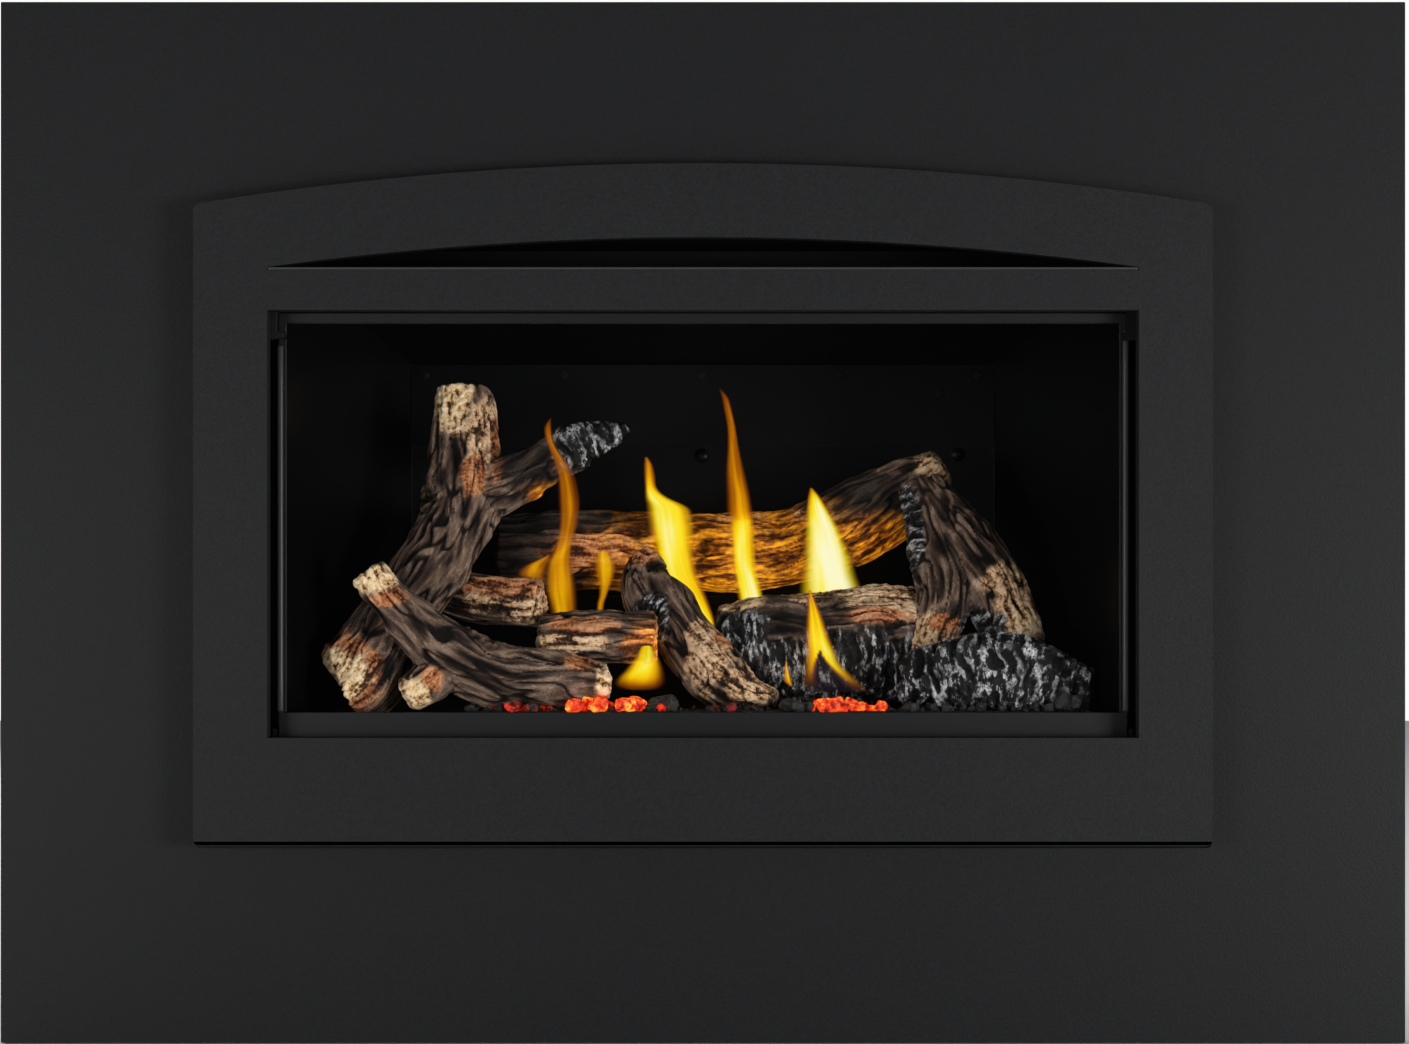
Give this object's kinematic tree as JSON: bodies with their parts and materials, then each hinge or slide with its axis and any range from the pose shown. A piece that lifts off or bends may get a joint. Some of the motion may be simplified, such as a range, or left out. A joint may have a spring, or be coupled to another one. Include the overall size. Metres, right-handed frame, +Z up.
{
  "type": "fireplace insert",
  "caption": "Direct-vent gas fireplace insert with an arched faceplate, a four-sided surround, a glass door and a ceramic log set.",
  "frame": {"origin": "centre of the casing's underside", "axes": "+X the viewer's right, +Y into the wall, +Z up"},
  "size_m": [1.016, 0.404, 0.753],
  "materials": {
    "powder_coat": "fine matt charcoal powder coat",
    "door_coat": "satin charcoal coat",
    "black_steel": "heat-resistant black paint",
    "porcelain": "glossy black porcelain enamel",
    "galvanised_steel": "galvanised sheet",
    "glass": "clear ceramic glass",
    "rope_gasket": "woven glass rope",
    "fired_ceramic": "ceramic fibre painted as bark, char and ash",
    "ember": "charcoal grit and glowing ember wool",
    "brass": "plain brass",
    "aluminium": "cast and drawn aluminium",
    "white_ceramic": "unglazed white ceramic",
    "black_plastic": "black moulded plastic"
  },
  "bodies": {
    "root": {"casing_base": "galvanised_steel", "casing_left_side": "galvanised_steel", "casing_right_side": "galvanised_steel", "casing_back": "galvanised_steel", "casing_top": "galvanised_steel", "surround_plate": "powder_coat", "surround_bracket_left": "galvanised_steel", "surround_bracket_right": "galvanised_steel", "firebox_face": "black_steel", "firebox_shell": "galvanised_steel", "firebox_floor": "black_steel", "firebox_top": "galvanised_steel", "liner_left": "porcelain", "liner_right": "porcelain", "liner_back": "porcelain", "ceiling_baffle": "porcelain", "outlet_hood": "black_steel", "exhaust_collar": "galvanised_steel", "intake_collar": "galvanised_steel", "latch_bracket_left": "black_steel", "latch_bracket_right": "black_steel", "burner_pan": "black_steel", "venturi_tube": "aluminium", "injector": "brass", "pilot_bracket": "black_steel", "pilot_hood": "brass", "igniter_rod": "white_ceramic", "flame_sensor": "white_ceramic", "log_rest": "black_steel", "control_panel": "galvanised_steel", "gas_valve": "aluminium", "igniter_body": "black_plastic", "gas_inlet": "brass", "manifold_pipe": "aluminium", "switch_box": "galvanised_steel", "blower_housing": "galvanised_steel", "blower_motor": "black_steel", "log_left_tall": "fired_ceramic", "log_right_base": "fired_ceramic", "log_front_fork": "fired_ceramic", "log_centre": "fired_ceramic", "log_right_front": "fired_ceramic", "log_rear": "fired_ceramic", "log_left_front": "fired_ceramic", "log_left_stub": "fired_ceramic", "log_right_crossed": "fired_ceramic", "ember_bed": "ember"},
    "faceplate": {"faceplate": "powder_coat"},
    "door": {"door_frame": "door_coat", "glass_pane": "glass", "glass_gasket": "rope_gasket"},
    "latch_left": {"latch_left": "black_steel"},
    "latch_right": {"latch_right": "black_steel"},
    "gas_knob": {"gas_knob": "black_plastic"},
    "flame_knob": {"flame_knob": "black_plastic"},
    "igniter_button": {"igniter_button": "black_plastic"},
    "burner_switch": {"burner_switch": "black_plastic"},
    "fan_knob": {"fan_knob": "black_plastic"},
    "blower_wheel": {"blower_wheel": "aluminium"}
  },
  "joints": [
    {"name": "faceplate_pull", "type": "slide", "parent": "root", "child": "faceplate", "axis": [0, -1, 0], "range_m": [0, 0.3]},
    {"name": "door_tilt", "type": "hinge", "parent": "root", "child": "door", "pos_m": [0, -0.186, 0.0683], "axis": [1, 0, 0], "range_deg": [0, 8.1]},
    {"name": "latch_left_turn", "type": "hinge", "parent": "root", "child": "latch_left", "pos_m": [-0.3045, -0.189, 0.3956], "axis": [-1, 0, 0], "range_deg": [0, 111]},
    {"name": "latch_right_turn", "type": "hinge", "parent": "root", "child": "latch_right", "pos_m": [0.3135, -0.189, 0.3956], "axis": [-1, 0, 0], "range_deg": [0, 111]},
    {"name": "gas_knob_turn", "type": "hinge", "parent": "root", "child": "gas_knob", "pos_m": [-0.186, -0.16, 0.033], "axis": [0, -1, 0], "range_deg": [0, 180]},
    {"name": "flame_knob_turn", "type": "hinge", "parent": "root", "child": "flame_knob", "pos_m": [-0.146, -0.16, 0.033], "axis": [0, -1, 0], "range_deg": [0, 120]},
    {"name": "igniter_press", "type": "slide", "parent": "root", "child": "igniter_button", "axis": [0, 1, 0], "range_m": [0, 0.005], "stiffness_N_per_m": 400, "springref_m": -0.002},
    {"name": "burner_switch_rock", "type": "hinge", "parent": "root", "child": "burner_switch", "pos_m": [0.152, -0.1575, 0.033], "axis": [1, 0, 0], "range_deg": [0, 24]},
    {"name": "fan_knob_turn", "type": "hinge", "parent": "root", "child": "fan_knob", "pos_m": [0.2, -0.16, 0.033], "axis": [0, -1, 0], "range_deg": [0, 280]},
    {"name": "blower_spin", "type": "hinge", "parent": "root", "child": "blower_wheel", "pos_m": [-0.024, 0.154, 0.036], "axis": [1, 0, 0], "continuous": true}
  ],
  "couplings": [
    {"joint": "door_tilt", "follows": "faceplate_pull", "rad_per_m": 0.4654},
    {"joint": "latch_left_turn", "follows": "faceplate_pull", "rad_per_m": 6.4},
    {"joint": "latch_right_turn", "follows": "faceplate_pull", "rad_per_m": 6.4}
  ]
}
